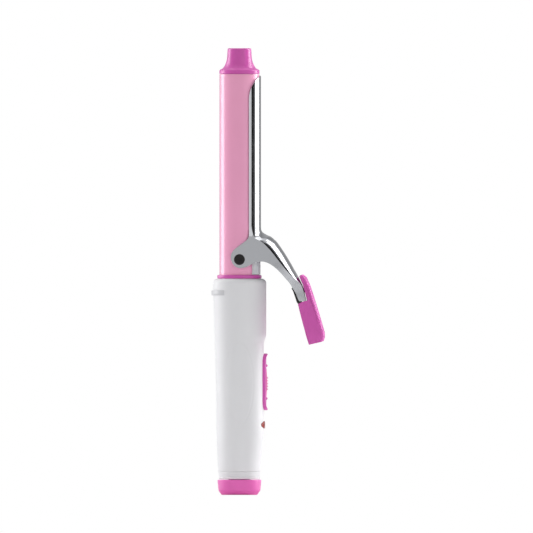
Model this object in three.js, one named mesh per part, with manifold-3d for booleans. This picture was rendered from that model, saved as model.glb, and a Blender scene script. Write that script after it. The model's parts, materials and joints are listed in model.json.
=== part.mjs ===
import * as THREE from "three";
import { mergeVertices } from "three/addons/utils/BufferGeometryUtils.js";
import Module from "manifold-3d";

// Clip-type hair curler standing on its end cap, in millimetres, +Z up.
// The barrel's axis is the local Z axis. The lever and the switch face +X.

const wasm = await Module();
wasm.setup();

// Placing: the footprint's middle is the origin, so the barrel's axis stands off it.
const AXIS_X = -13.6;
const GAP = 0.2;
const SEGMENTS = 36;

// Barrel and tip
const BARREL_R = 9.5;
const BARREL_WALL = 0.8;
const BARREL_BOTTOM = 76;
const BARREL_TOP = 199.85;
const TIP_TOP = 212.2;
const TIP_FLANGE_R = 9.55;
const TIP_R = 5.6;

// Handle
const HANDLE_TOP = 102.7;
const LAND_R = 11.65;
const LAND_BOTTOM = 31;
const LAND_TOP = 72;
const SHOULDER_R = 12.75;
const SHOULDER_Z = 76;
const HANDLE_MOUTH_R = 9.85;
const SOCKET_R = 10.35;
const COLLAR_TOP = 104.5;
const COLLAR_R = 10.55;

// Clip and pivot
const PIVOT_Z = 111.8;
const SHEET = 0.6;
const CLIP_R = 10.25;
const CLIP_HALF_ANGLE = 63.5;
const CLIP_TOP = 199;
const CLIP_TIP_LENGTH = 11.4;
const PIN_R = 1.2;
const PIN_HEAD_R = 2.6;
const SPRING_STRIP = 0.4;

// Switch and lamp
const SWITCH_Z = 53.7;
const BEZEL_LENGTH = 27;
const BEZEL_WIDTH = 7.8;
const BEZEL_FRONT = 13.35;
const SWITCH_AXIS_X = 7.25;
const BEZEL_R = BEZEL_FRONT - SWITCH_AXIS_X;
const FLOOR_R = BEZEL_R - 0.6;
const KNOB_Z = 53.4;
const KNOB_LENGTH = 13.8;
const KNOB_WIDTH = 3.6;
const LENS_Z = 33.3;
const LENS_WIDTH = 9.2;
const LENS_HEIGHT = 3.5;

// End cap and swivel
const CAP_TOP = 7.2;
const GLAND_R = 3.9;
const SPINDLE_R = 5.2;

const group = new THREE.Group();

const finish = (color, roughness, metalness) =>
  new THREE.MeshStandardMaterial({ color, roughness, metalness });
const WHITE = finish(0xeeeeec, 0.35, 0);
const GREY = finish(0xc9cacc, 0.4, 0);
const PINK = finish(0xe79cbd, 0.2, 0.1);
const MAGENTA = finish(0xbf5aa3, 0.35, 0);
const CHROME = finish(0xbfc2c6, 0.12, 1);
const STEEL = finish(0x8f9296, 0.35, 1);
const ALUMINIUM = finish(0xb9bcc0, 0.45, 1);
const BRASS = finish(0xb6924a, 0.35, 1);
const BLACK = finish(0x232123, 0.5, 0);
const RED = finish(0xa9382a, 0.15, 0);
const BOARD_GREEN = finish(0x2f6b45, 0.6, 0);
const CERAMIC = finish(0xd8d2c4, 0.7, 0);

// Turns a three.js geometry into a closed solid.
function solidOf(geometry) {
  const bare = new THREE.BufferGeometry();
  const source = geometry.index ? geometry.toNonIndexed() : geometry;
  bare.setAttribute("position", source.getAttribute("position"));
  const merged = mergeVertices(bare, 1e-4);
  const corners = merged.index.array;
  const kept = [];
  for (let i = 0; i < corners.length; i += 3) {
    const [a, b, c] = corners.slice(i, i + 3);
    if (a !== b && b !== c && c !== a) kept.push(a, b, c);
  }
  const mesh = new wasm.Mesh({
    numProp: 3,
    vertProperties: merged.attributes.position.array,
    triVerts: new Uint32Array(kept),
  });
  return new wasm.Manifold(mesh);
}

// Adds one named piece to the group.
function add(name, solid, material) {
  const made = solid.getMesh();
  const geometry = new THREE.BufferGeometry();
  geometry.setAttribute("position", new THREE.BufferAttribute(made.vertProperties, 3));
  geometry.setIndex(new THREE.BufferAttribute(made.triVerts, 1));
  const flat = geometry.toNonIndexed();
  flat.computeVertexNormals();
  const mesh = new THREE.Mesh(flat, material);
  mesh.name = name;
  mesh.position.x = AXIS_X;
  group.add(mesh);
}

// Turned body about Z from [radius, z] pairs, up the outside and down the inside.
function lathe(profile, segments = SEGMENTS) {
  const points = profile.map(([r, z]) => new THREE.Vector2(r, z));
  const geometry = new THREE.LatheGeometry(points, segments);
  geometry.rotateX(Math.PI / 2);
  return solidOf(geometry);
}

// Ring of rectangular section about Z.
function ring(inner, outer, bottom, top, segments = SEGMENTS) {
  const profile = [
    [inner, bottom],
    [outer, bottom],
    [outer, top],
    [inner, top],
    [inner, bottom],
  ];
  return lathe(profile, segments);
}

// Round bar along Z.
function barZ(radius, x, y, bottom, top, segments = 20) {
  const geometry = new THREE.CylinderGeometry(radius, radius, top - bottom, segments);
  geometry.rotateX(Math.PI / 2);
  geometry.translate(x, y, (top + bottom) / 2);
  return solidOf(geometry);
}

// Round bar along X.
function barX(radius, from, to, y, z, segments = 20) {
  const geometry = new THREE.CylinderGeometry(radius, radius, to - from, segments);
  geometry.rotateZ(-Math.PI / 2);
  geometry.translate((from + to) / 2, y, z);
  return solidOf(geometry);
}

// Round bar along Y.
function barY(radius, from, to, x, z, segments = 20) {
  const geometry = new THREE.CylinderGeometry(radius, radius, to - from, segments);
  geometry.translate(x, (from + to) / 2, z);
  return solidOf(geometry);
}

function box(x0, x1, y0, y1, z0, z1) {
  const geometry = new THREE.BoxGeometry(x1 - x0, y1 - y0, z1 - z0);
  geometry.translate((x0 + x1) / 2, (y0 + y1) / 2, (z0 + z1) / 2);
  return solidOf(geometry);
}

// Side outline of [x, z] pairs, carried across from y0 to y1.
function slab(outline, y0, y1) {
  const shape = new THREE.Shape(outline.map(([x, z]) => new THREE.Vector2(x, z)));
  const geometry = new THREE.ExtrudeGeometry(shape, {
    depth: y1 - y0,
    bevelEnabled: false,
  });
  geometry.rotateX(Math.PI / 2);
  geometry.translate(0, y1, 0);
  return solidOf(geometry);
}

// Shape drawn in (y, z), carried along +X from x0 to x1.
function plate(shape, x0, x1) {
  const geometry = new THREE.ExtrudeGeometry(shape, {
    depth: x1 - x0,
    bevelEnabled: false,
    curveSegments: 10,
  });
  const toX = new THREE.Matrix4().makeBasis(
    new THREE.Vector3(0, 1, 0),
    new THREE.Vector3(0, 0, 1),
    new THREE.Vector3(1, 0, 0),
  );
  geometry.applyMatrix4(toX);
  geometry.translate(x0, 0, 0);
  return solidOf(geometry);
}

// Slot outline with round ends, long in z.
function slotShape(length, width, z) {
  const half = length / 2 - width / 2;
  const shape = new THREE.Shape();
  shape.absarc(0, z + half, width / 2, 0, Math.PI);
  shape.absarc(0, z - half, width / 2, Math.PI, 2 * Math.PI);
  return shape;
}

// Oval outline, wide in y.
function ovalShape(width, height, z) {
  const shape = new THREE.Shape();
  shape.absellipse(0, z, width / 2, height / 2, 0, 2 * Math.PI);
  return shape;
}

// Strip of a given thickness along a side path of [x, z] pairs.
function strip(path, thickness, halfWidth) {
  const left = [];
  const right = [];
  path.forEach(([x, z], i) => {
    const [ax, az] = path[Math.max(i - 1, 0)];
    const [bx, bz] = path[Math.min(i + 1, path.length - 1)];
    const length = Math.hypot(bx - ax, bz - az);
    const nx = (-(bz - az) / length) * (thickness / 2);
    const nz = ((bx - ax) / length) * (thickness / 2);
    left.push([x + nx, z + nz]);
    right.unshift([x - nx, z - nz]);
  });
  return slab([...left, ...right], -halfWidth, halfWidth);
}

// Round wire through points.
function wire(points, radius, steps) {
  const curve = new THREE.CatmullRomCurve3(points.map((p) => new THREE.Vector3(...p)));
  const shape = new THREE.Shape();
  shape.absarc(0, 0, radius, 0, 2 * Math.PI);
  const geometry = new THREE.ExtrudeGeometry(shape, {
    steps,
    curveSegments: 5,
    bevelEnabled: false,
    extrudePath: curve,
  });
  return solidOf(geometry);
}

// Closed skin over a grid of outer and inner points, both rows by columns.
function closedGrid(outer, inner) {
  const rows = outer.length;
  const columns = outer[0].length;
  const positions = [...outer.flat(), ...inner.flat()].flatMap((p) => [p.x, p.y, p.z]);
  const index = [];
  const at = (i, j, side) => side * rows * columns + i * columns + j;
  const quad = (a, b, c, d) => index.push(a, b, c, a, c, d);
  for (let i = 0; i + 1 < rows; i++) {
    for (let j = 0; j + 1 < columns; j++) {
      quad(at(i, j, 0), at(i, j + 1, 0), at(i + 1, j + 1, 0), at(i + 1, j, 0));
      quad(at(i, j, 1), at(i + 1, j, 1), at(i + 1, j + 1, 1), at(i, j + 1, 1));
    }
    quad(at(i, 0, 1), at(i, 0, 0), at(i + 1, 0, 0), at(i + 1, 0, 1));
    const e = columns - 1;
    quad(at(i, e, 0), at(i, e, 1), at(i + 1, e, 1), at(i + 1, e, 0));
  }
  for (let j = 0; j + 1 < columns; j++) {
    const e = rows - 1;
    quad(at(0, j, 0), at(0, j, 1), at(0, j + 1, 1), at(0, j + 1, 0));
    quad(at(e, j, 1), at(e, j, 0), at(e, j + 1, 0), at(e, j + 1, 1));
  }
  const geometry = new THREE.BufferGeometry();
  geometry.setAttribute("position", new THREE.Float32BufferAttribute(positions, 3));
  geometry.setIndex(index);
  return solidOf(geometry);
}

// Solid through rings of points, one above the other, closed by a fan at each end.
function loft(rings) {
  const count = rings[0].length;
  const positions = rings.flat().flatMap((p) => [p.x, p.y, p.z]);
  const index = [];
  for (let i = 0; i + 1 < rings.length; i++) {
    for (let j = 0; j < count; j++) {
      const a = i * count + j;
      const b = i * count + ((j + 1) % count);
      index.push(a, b, b + count, a, b + count, a + count);
    }
  }
  const last = (rings.length - 1) * count;
  for (let j = 1; j + 1 < count; j++) {
    index.push(0, j + 1, j, last, last + j, last + j + 1);
  }
  const geometry = new THREE.BufferGeometry();
  geometry.setAttribute("position", new THREE.Float32BufferAttribute(positions, 3));
  geometry.setIndex(index);
  return solidOf(geometry);
}

// Value of a piecewise straight curve of [x, y] pairs.
function along(table, x) {
  if (x <= table[0][0]) return table[0][1];
  for (let i = 1; i < table.length; i++) {
    const [x1, y1] = table[i];
    const [x0, y0] = table[i - 1];
    if (x <= x1) return y0 + ((y1 - y0) * (x - x0)) / (x1 - x0);
  }
  return table[table.length - 1][1];
}

const smooth = (t) => {
  const c = Math.min(Math.max(t, 0), 1);
  return c * c * (3 - 2 * c);
};

// ---- Handle ----

// Radius of the handle's back at each height.
const BACK_RADIUS = [
  [10.9, 10.1],
  [24.7, 10.8],
  [54.6, 11.2],
  [71, 11.7],
  [92.6, 12.4],
  [100.5, 12.6],
];

function frontRadius(z) {
  const back = along(BACK_RADIUS, z);
  if (z >= LAND_TOP) {
    const step = smooth((z - LAND_TOP) / (SHOULDER_Z - LAND_TOP));
    return LAND_R + (SHOULDER_R - LAND_R) * step;
  }
  if (z >= LAND_BOTTOM) return LAND_R;
  return back + (LAND_R - along(BACK_RADIUS, LAND_BOTTOM)) * smooth((z - 12) / 19);
}

function handleRing(z, inset) {
  const back = along(BACK_RADIUS, z);
  const front = frontRadius(z);
  const points = [];
  for (let j = 0; j < SEGMENTS; j++) {
    const angle = (2 * Math.PI * j) / SEGMENTS;
    const off = Math.abs(Math.atan2(Math.sin(angle), Math.cos(angle)));
    const share = 1 - smooth((off - 0.45) / 1.1);
    const r = back + (front - back) * share - inset;
    points.push(new THREE.Vector3(r * Math.cos(angle), r * Math.sin(angle), z));
  }
  return points;
}

function handleBody() {
  const levels = [
    [10.9, 0.5],
    [11.4, 0],
    [17, 0],
    [24.7, 0],
    [31, 0],
    [54.6, 0],
    [72, 0],
    [73.2, 0],
    [74.6, 0],
    [76, 0],
    [92.6, 0],
    [100.5, 0],
    [101.6, 0.35],
    [102.3, 1],
    [102.7, 1.9],
  ];
  return loft(levels.map(([z, inset]) => handleRing(z, inset)));
}

function handleBore() {
  return lathe([
    [0, 10],
    [8.05, 10],
    [8.75, 25],
    [9.2, 55],
    [9.5, 72],
    [SOCKET_R + GAP, 74],
    [SOCKET_R + GAP, 100],
    [HANDLE_MOUTH_R, 100],
    [HANDLE_MOUTH_R, 104],
    [0, 104],
  ]);
}

function makeHandle() {
  const window = plate(slotShape(BEZEL_LENGTH + 0.4, BEZEL_WIDTH + 0.4, SWITCH_Z), 5, 20);
  const lamp = plate(ovalShape(LENS_WIDTH + 0.4, LENS_HEIGHT + 0.4, LENS_Z), 5, 20);
  let shell = handleBody().subtract(handleBore()).subtract(window).subtract(lamp);
  for (const y of [-5.5, 5.5]) {
    shell = shell.subtract(barX(1 + GAP, -13, -6, y, 96, 12));
  }
  add("handle_shell", shell, WHITE);

  const neck = lathe([
    [SPINDLE_R + GAP, 7.4],
    [9.55, 7.4],
    [9.7, 7.8],
    [9.7, 8.6],
    [9.5, 8.8],
    [9.7, 9],
    [9.75, 10.1],
    [9.6, 10.7],
    [7.85, 10.7],
    [7.85, 13],
    [SPINDLE_R + GAP, 13],
    [SPINDLE_R + GAP, 7.4],
  ]);
  add("neck_ring", neck, WHITE);

  const collar = lathe([
    [BARREL_R + GAP, HANDLE_TOP + GAP],
    [COLLAR_R - 0.3, HANDLE_TOP + GAP],
    [COLLAR_R, HANDLE_TOP + 0.6],
    [COLLAR_R, COLLAR_TOP - 0.5],
    [COLLAR_R - 0.4, COLLAR_TOP],
    [BARREL_R + GAP, COLLAR_TOP],
    [BARREL_R + GAP, HANDLE_TOP + GAP],
  ]);
  add("collar_ring", collar, MAGENTA);

  const socket = lathe([
    [7.5, 74.2],
    [SOCKET_R, 74.2],
    [SOCKET_R, 99.8],
    [BARREL_R + 0.15, 99.8],
    [BARREL_R + 0.15, 75.7],
    [7.5, 75.7],
    [7.5, 74.2],
  ]);
  add("barrel_socket", socket, CERAMIC);
}

// Light tab round the back of the handle, on two pegs.
function makeRestFoot() {
  const body = ring(12.7, 13.35, 94.8, 97.2, 48);
  const keep = box(-14, -7.5, -14, 14, 90, 100);
  let foot = body.intersect(keep);
  for (const y of [-5.5, 5.5]) {
    foot = foot.add(barX(1, -12.1, -9.9, y, 96, 12));
  }
  add("rest_foot", foot, GREY);
}

// ---- Barrel ----

const RIVETS = [
  ["rivet_lower", 113.5],
  ["rivet_upper", 117.3],
];

function crossHoles(radius) {
  let holes = barY(PIN_R + radius, -12, 12, 0, PIVOT_Z);
  for (const [, z] of RIVETS) {
    holes = holes.add(barX(1.1 + radius, 5, 13, 0, z));
  }
  return holes;
}

function makeBarrel() {
  const holes = crossHoles(0.2);
  const tube = ring(BARREL_R - BARREL_WALL, BARREL_R, BARREL_BOTTOM, BARREL_TOP);
  add("barrel_tube", tube.subtract(holes), PINK);

  const tip = lathe([
    [6.8, 191],
    [8.5, 191],
    [8.5, 200.05],
    [TIP_FLANGE_R, 200.05],
    [TIP_FLANGE_R, 201.6],
    [9, 202.1],
    [8, 202.4],
    [7, 204],
    [6.3, 205.5],
    [5.9, 207],
    [TIP_R, 211.8],
    [5.2, TIP_TOP],
    [0, TIP_TOP],
    [0, 200],
    [6.8, 199],
    [6.8, 191],
  ]);
  add("tip_cap", tip, MAGENTA);

  const sleeve = ring(6.2, 8.5, 105, 120);
  add("hinge_sleeve", sleeve.subtract(holes), STEEL);

  for (const side of [-1, 1]) {
    const name = side < 0 ? "pivot_screw_right" : "pivot_screw_left";
    const head = barY(PIN_HEAD_R, 10.45, 11.5, 0, PIVOT_Z, 24);
    const shank = barY(PIN_R, 6.6, 10.6, 0, PIVOT_Z);
    const screw = head.add(shank);
    add(name, side > 0 ? screw : screw.mirror([0, 1, 0]), BLACK);
  }
}

// Plate round the front of the barrel, and the leaf spring riveted over it.
function makeSpring() {
  const wedge = slab(
    [
      [6.15, 104],
      [14, 104],
      [14, 120],
      [6.15, 120],
    ],
    -12,
    12,
  );
  const plateBody = ring(BARREL_R + 0.15, 10.05, 104.7, 119.5).intersect(wedge);
  const holes = crossHoles(0.2);
  add("spring_plate", plateBody.subtract(holes), CHROME);

  const path = [
    [10.45, 111.7],
    [10.45, 119.2],
    [10.9, 120.6],
    [12, 121.3],
    [13.4, 120.9],
    [14.8, 119.6],
    [20.2, 114.4],
    [21.1, 113.1],
    [21.3, 112],
  ];
  const leaf = strip(path, SPRING_STRIP, 4);
  add("leaf_spring", leaf.subtract(holes), STEEL);

  for (const [name, z] of RIVETS) {
    const body = barX(1.1, 6.9, 11, 0, z, 16).add(barX(1.6, 10.85, 11.6, 0, z, 16));
    add(name, body, STEEL);
  }
}

function makeHeater() {
  for (const side of [-1, 1]) {
    const name = side > 0 ? "heat_spreader_front" : "heat_spreader_back";
    const keep = side > 0 ? box(1.4, 9, -9, 9, 100, 200) : box(-9, -1.4, -9, 9, 100, 200);
    add(name, barZ(8.45, 0, 0, 124, 186, 32).intersect(keep), ALUMINIUM);
  }
  add("ptc_heater", box(-1.1, 1.1, -5, 5, 130, 180), CERAMIC);
  add("thermal_fuse", barZ(1.6, -3.6, -2, 94, 104, 16), CERAMIC);
  const live = [
    [0, 3.2, 129.6],
    [0, 3.2, 120],
    [1.5, 3, 105],
    [3.4, 2.5, 88],
    [3.4, 2.3, 73.8],
  ];
  add("heater_lead_live", wire(live, 0.7, 16), RED);
  const neutral = [
    [0, -3.2, 129.6],
    [0, -3.2, 122],
    [-2.5, -2.4, 112],
    [-3.6, -2, 104.4],
  ];
  add("heater_lead_neutral", wire(neutral, 0.7, 12), BLACK);
  const fuse = [
    [-3.6, -2, 93.6],
    [-2.6, -2.1, 88],
    [2.2, -2.3, 82],
    [3.4, -2.4, 73.8],
  ];
  add("fuse_lead", wire(fuse, 0.7, 12), BLACK);
}

// ---- Clip ----

// Stations of the lever in side view: the free edge of the ears, the crease between an
// ear and the crowned web, the crown, half of the width, and how far the round trough
// has turned into the channel.
const STATIONS = [
  { edge: [4.57, 125], crease: [6.6, 125.2], crown: [10.8, 126.2], half: 10.25, turned: 0.12 },
  { edge: [4.45, 123.3], crease: [6.9, 123.7], crown: [11.8, 125.1], half: 10.25, turned: 0.35 },
  { edge: [3.5, 121.5], crease: [7.8, 122.3], crown: [13, 124.1], half: 10.25, turned: 0.65 },
  { edge: [1.9, 120.1], crease: [8.6, 121.5], crown: [14, 123.3], half: 10.25, turned: 0.88 },
  { edge: [-0.5, 118.1], crease: [9.4, 120.9], crown: [14.8, 122.8], half: 10.25, turned: 1 },
  { edge: [-2.6, 116.4], crease: [10.2, 120.4], crown: [15.5, 122.3], half: 10.25, turned: 1 },
  { edge: [-3.8, 114.6], crease: [10.9, 119.9], crown: [16.1, 121.8], half: 10.25, turned: 1 },
  { edge: [-4.1, 112.6], crease: [11.6, 119.4], crown: [16.6, 121.3], half: 10.25, turned: 1 },
  { edge: [-3.5, 110.4], crease: [12.3, 118.7], crown: [17.1, 120.9], half: 10.25, turned: 1 },
  { edge: [-2, 108.5], crease: [13, 118], crown: [17.6, 120.4], half: 10.25, turned: 1 },
  { edge: [0.4, 107.7], crease: [13.7, 117.2], crown: [18.1, 119.8], half: 10.25, turned: 1 },
  { edge: [3.3, 108.3], crease: [14.4, 116.5], crown: [18.6, 119.1], half: 10.25, turned: 1 },
  { edge: [5.6, 109.4], crease: [15.1, 115.7], crown: [19.1, 118.4], half: 10.25, turned: 1 },
  { edge: [7.6, 110.4], crease: [15.8, 114.8], crown: [19.7, 117.6], half: 10.25, turned: 1 },
  { edge: [9.6, 110.85], crease: [16.6, 113.8], crown: [20.4, 116.5], half: 10.25, turned: 1 },
  { edge: [12, 110.65], crease: [17.5, 112.6], crown: [21.3, 115.2], half: 10.25, turned: 1 },
  { edge: [14.4, 109.7], crease: [18.7, 111.1], crown: [22.3, 113.6], half: 10.25, turned: 1 },
  { edge: [16.6, 108.2], crease: [20.1, 109.4], crown: [23.5, 111.6], half: 10.2, turned: 1 },
  { edge: [18.6, 106.4], crease: [21.6, 107.5], crown: [24.7, 109.6], half: 10.1, turned: 1 },
  { edge: [20.6, 104.3], crease: [23.2, 105.7], crown: [25.9, 107.4], half: 9.9, turned: 1 },
  { edge: [22.4, 102.2], crease: [24.8, 104], crown: [27.2, 105.2], half: 9.6, turned: 1 },
  { edge: [24, 100.3], crease: [26.2, 102.3], crown: [28.4, 102.8], half: 9.3, turned: 1 },
  { edge: [25, 98.4], crease: [27.5, 100.2], crown: [29.4, 100.2], half: 9, turned: 1 },
  { edge: [25.9, 95.8], crease: [28.6, 97.1], crown: [30.2, 97.4], half: 8.7, turned: 1 },
  { edge: [26.7, 93.2], crease: [29.4, 94.3], crown: [31, 94.7], half: 8.4, turned: 1 },
  { edge: [27.5, 90.9], crease: [30.1, 91.6], crown: [31.7, 92.1], half: 8.2, turned: 1 },
];
const EAR_STEPS = 2;
const CROWN_STEPS = 6;
const HALF_STEPS = EAR_STEPS + CROWN_STEPS;

const degrees = (angle) => (angle * Math.PI) / 180;

// Point of the round trough, share 0 at its edge and 1 on its crown.
function troughPoint(share, halfAngle, z) {
  const angle = degrees(halfAngle * (1 - share));
  return new THREE.Vector3(CLIP_R * Math.cos(angle), CLIP_R * Math.sin(angle), z);
}

// Point of the lever's channel: straight up the ear, then over the crown.
function channelPoint(step, station) {
  const [bx, bz] = station.edge;
  const [cx, cz] = station.crease;
  const [kx, kz] = station.crown;
  if (step <= EAR_STEPS) {
    const t = step / EAR_STEPS;
    return new THREE.Vector3(bx + (cx - bx) * t, station.half, bz + (cz - bz) * t);
  }
  const angle = ((step - EAR_STEPS) / CROWN_STEPS) * (Math.PI / 2);
  const rise = Math.pow(Math.sin(angle), 0.9);
  const across = station.half * Math.pow(Math.cos(angle), 0.9);
  const y = step === HALF_STEPS ? 0 : across;
  return new THREE.Vector3(cx + (kx - cx) * rise, y, cz + (kz - cz) * rise);
}

function clipRow(pointAt) {
  const row = [];
  for (let j = -HALF_STEPS; j <= HALF_STEPS; j++) {
    const p = pointAt(HALF_STEPS - Math.abs(j));
    row.push(new THREE.Vector3(p.x, -Math.sign(j) * p.y, p.z));
  }
  return row;
}

function clipRows() {
  const rows = [];
  const steps = [0.995, 0.97, 0.9, 0.78, 0.6, 0.35, 0];
  for (const s of steps) {
    const z = CLIP_TOP - CLIP_TIP_LENGTH * (1 - s);
    const angle = CLIP_HALF_ANGLE * Math.pow(1 - Math.pow(s, 2.2), 1 / 2.2);
    rows.push(clipRow((step) => troughPoint(step / HALF_STEPS, angle, z)));
  }
  for (const z of [170, 145, 131, 127.8]) {
    rows.push(clipRow((step) => troughPoint(step / HALF_STEPS, CLIP_HALF_ANGLE, z)));
  }
  for (const station of STATIONS) {
    rows.push(
      clipRow((step) => {
        const share = step / HALF_STEPS;
        const z = station.edge[1] + (station.crown[1] - station.edge[1]) * share;
        const round = troughPoint(share, CLIP_HALF_ANGLE, z);
        return round.lerp(channelPoint(step, station), station.turned);
      }),
    );
  }
  return rows;
}

// Skin at a distance out from the one given, or in if it is negative.
function offsetSkin(rows, distance) {
  const last = rows.length - 1;
  const end = rows[0].length - 1;
  return rows.map((row, i) =>
    row.map((p, j) => {
      const down = rows[Math.min(i + 1, last)][j].clone();
      down.sub(rows[Math.max(i - 1, 0)][j]);
      const across = row[Math.min(j + 1, end)].clone();
      across.sub(row[Math.max(j - 1, 0)]);
      const normal = across.cross(down).normalize();
      return p.clone().addScaledVector(normal, distance);
    }),
  );
}

// Middle line of the tongue that the thumb pad is pushed on to.
const TONGUE = [
  [30.6, 94.6],
  [31.35, 92],
  [32.6, 87.6],
  [33.7, 83.8],
];
const PAD_RIVET = { x: 30, z: 97 };

function makeClip() {
  const rows = clipRows();
  const sheet = closedGrid(rows, offsetSkin(rows, -SHEET));
  const holes = barY(PIN_R + 0.2, -12, 12, 0, PIVOT_Z);
  const arm = sheet
    .subtract(holes)
    .add(strip(TONGUE, SHEET, 5))
    .subtract(padRivet(0.2));
  add("clip_arm", arm, CHROME);
}

// Rivet square to the lever's crown, a little bigger for its hole.
function padRivet(extra) {
  const body = barX(1.1 + extra, -3.2, 3 + extra, 0, 0, 14);
  const head = barX(2, -3.2, -2.4, 0, 0, 14);
  const whole = extra ? body : body.add(head);
  return whole.rotate([0, -17, 0]).translate([PAD_RIVET.x, 0, PAD_RIVET.z]);
}

const PAD_OUTLINE = [
  [28.5, 103.75],
  [30.3, 104.7],
  [32, 103.3],
  [33.8, 99.4],
  [35.3, 94.8],
  [36.8, 90],
  [39, 82.7],
  [40.6, 77.2],
  [40.6, 74.8],
  [40, 73],
  [33, 71.3],
  [31.6, 75.7],
  [29.5, 83.6],
  [27.85, 90.4],
  [32.3, 91.5],
  [31.2, 95.8],
  [29.95, 100.2],
];

// Solid thumb pad with rounded long edges, pocketed for the lever's end.
function makePad() {
  const side = slab(PAD_OUTLINE, -10, 10);
  const front = new THREE.Shape();
  front.moveTo(-7, 70.5);
  front.lineTo(7, 70.5);
  front.quadraticCurveTo(8.3, 70.5, 8.5, 73);
  front.lineTo(9.2, 92);
  front.quadraticCurveTo(9.4, 103, 6.8, 104.4);
  front.quadraticCurveTo(0, 106.2, -6.8, 104.4);
  front.quadraticCurveTo(-9.4, 103, -9.2, 92);
  front.lineTo(-8.5, 73);
  front.quadraticCurveTo(-8.3, 70.5, -7, 70.5);
  const pocket = strip(TONGUE, SHEET + 0.4, 5.3);
  const bed = crownBed();
  const pad = side
    .intersect(plate(front, 20, 45))
    .subtract(bed)
    .subtract(pocket)
    .subtract(padRivet(0.2));
  add("thumb_pad", pad, MAGENTA);
}

// Room for the crowned end of the lever under the pad.
function crownBed() {
  const rows = clipRows().slice(-9);
  return closedGrid(offsetSkin(rows, 0.2), offsetSkin(rows, -1.5));
}

// Dark strip that closes the underside of the lever's end.
function makeLiner() {
  const path = [
    [25.4, 97.2],
    [26.5, 93.6],
    [27.1, 91.6],
  ];
  add("pad_liner", strip(path, 0.8, 7.3), BLACK);
  add("pad_rivet", padRivet(0), STEEL);
}

// ---- Switch and lamp ----

// Bar along Z that gives the switch its round front.
function switchRound(radius) {
  return barZ(radius, SWITCH_AXIS_X, 0, 30, 80, 72);
}

function makeSwitch() {
  const outer = plate(slotShape(BEZEL_LENGTH, BEZEL_WIDTH, SWITCH_Z), 9.4, 15);
  const well = plate(slotShape(BEZEL_LENGTH - 2, BEZEL_WIDTH - 2, SWITCH_Z), 5, 15);
  const slot = plate(slotShape(14, 2.4, KNOB_Z), 5, 15);
  const dish = well.subtract(switchRound(FLOOR_R));
  const bezel = outer.intersect(switchRound(BEZEL_R)).subtract(dish).subtract(slot);
  add("switch_bezel", bezel, MAGENTA);

  let knob = plate(slotShape(KNOB_LENGTH, KNOB_WIDTH, KNOB_Z), 9, 15);
  knob = knob.intersect(switchRound(BEZEL_R - 0.1)).subtract(switchRound(FLOOR_R + GAP));
  for (let i = -2; i <= 2; i++) {
    const z = KNOB_Z - 0.5 + i * 1.35;
    knob = knob.add(box(12.9, BEZEL_FRONT + 0.1, -1.35, 1.35, z - 0.3, z + 0.3));
  }
  const stem = box(8.6, 13, -0.9, 0.9, KNOB_Z - 2, KNOB_Z + 2);
  add("switch_knob", knob.add(stem), MAGENTA);
  add("switch_contact", box(7.4, 8.4, -1.6, 1.6, KNOB_Z - 3, KNOB_Z + 3), BRASS);

  const body = box(4.6, 9.1, -3.4, 3.4, 43.6, 63.2);
  const channel = box(7, 10, -2, 2, KNOB_Z - 7, KNOB_Z + 7);
  add("switch_body", body.subtract(channel), BLACK);

  const lens = plate(ovalShape(LENS_WIDTH, LENS_HEIGHT, LENS_Z), 8.6, 14);
  const dome = barZ(LAND_R + 0.5, 0, 0, 30, 37, 72);
  add("indicator_lens", lens.intersect(dome), RED);
  const led = barX(1.4, 4.4, 8.2, 0, LENS_Z, 14);
  add("indicator_led", led, RED);
}

function makeBoard() {
  const screws = [
    ["board_screw_lower", 38],
    ["board_screw_upper", 68.5],
  ];
  let board = box(2.6, 4.2, -6.6, 6.6, 24, 73.4);
  let frame = ring(7, 8.2, 22, 73.4, 32).intersect(box(-9, -3.4, -9, 9, 0, 100));
  for (const [, z] of screws) {
    board = board.subtract(barX(1.1, 2, 5, 0, z, 14));
    frame = frame.add(barX(2.2, -7.4, 2.4, 0, z, 14));
    frame = frame.subtract(barX(1.1, -6, 3, 0, z, 14));
  }
  add("circuit_board", board, BOARD_GREEN);
  add("chassis", frame, BLACK);
  for (const [name, z] of screws) {
    add(name, barX(0.9, -5, 4.5, 0, z, 12).add(barX(1.8, 4.4, 5.4, 0, z, 12)), STEEL);
  }
  add("dropper_resistor", barZ(1.5, 0.8, 4.2, 60, 70, 14), CERAMIC);
}

// ---- Swivel and end cap ----

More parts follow.
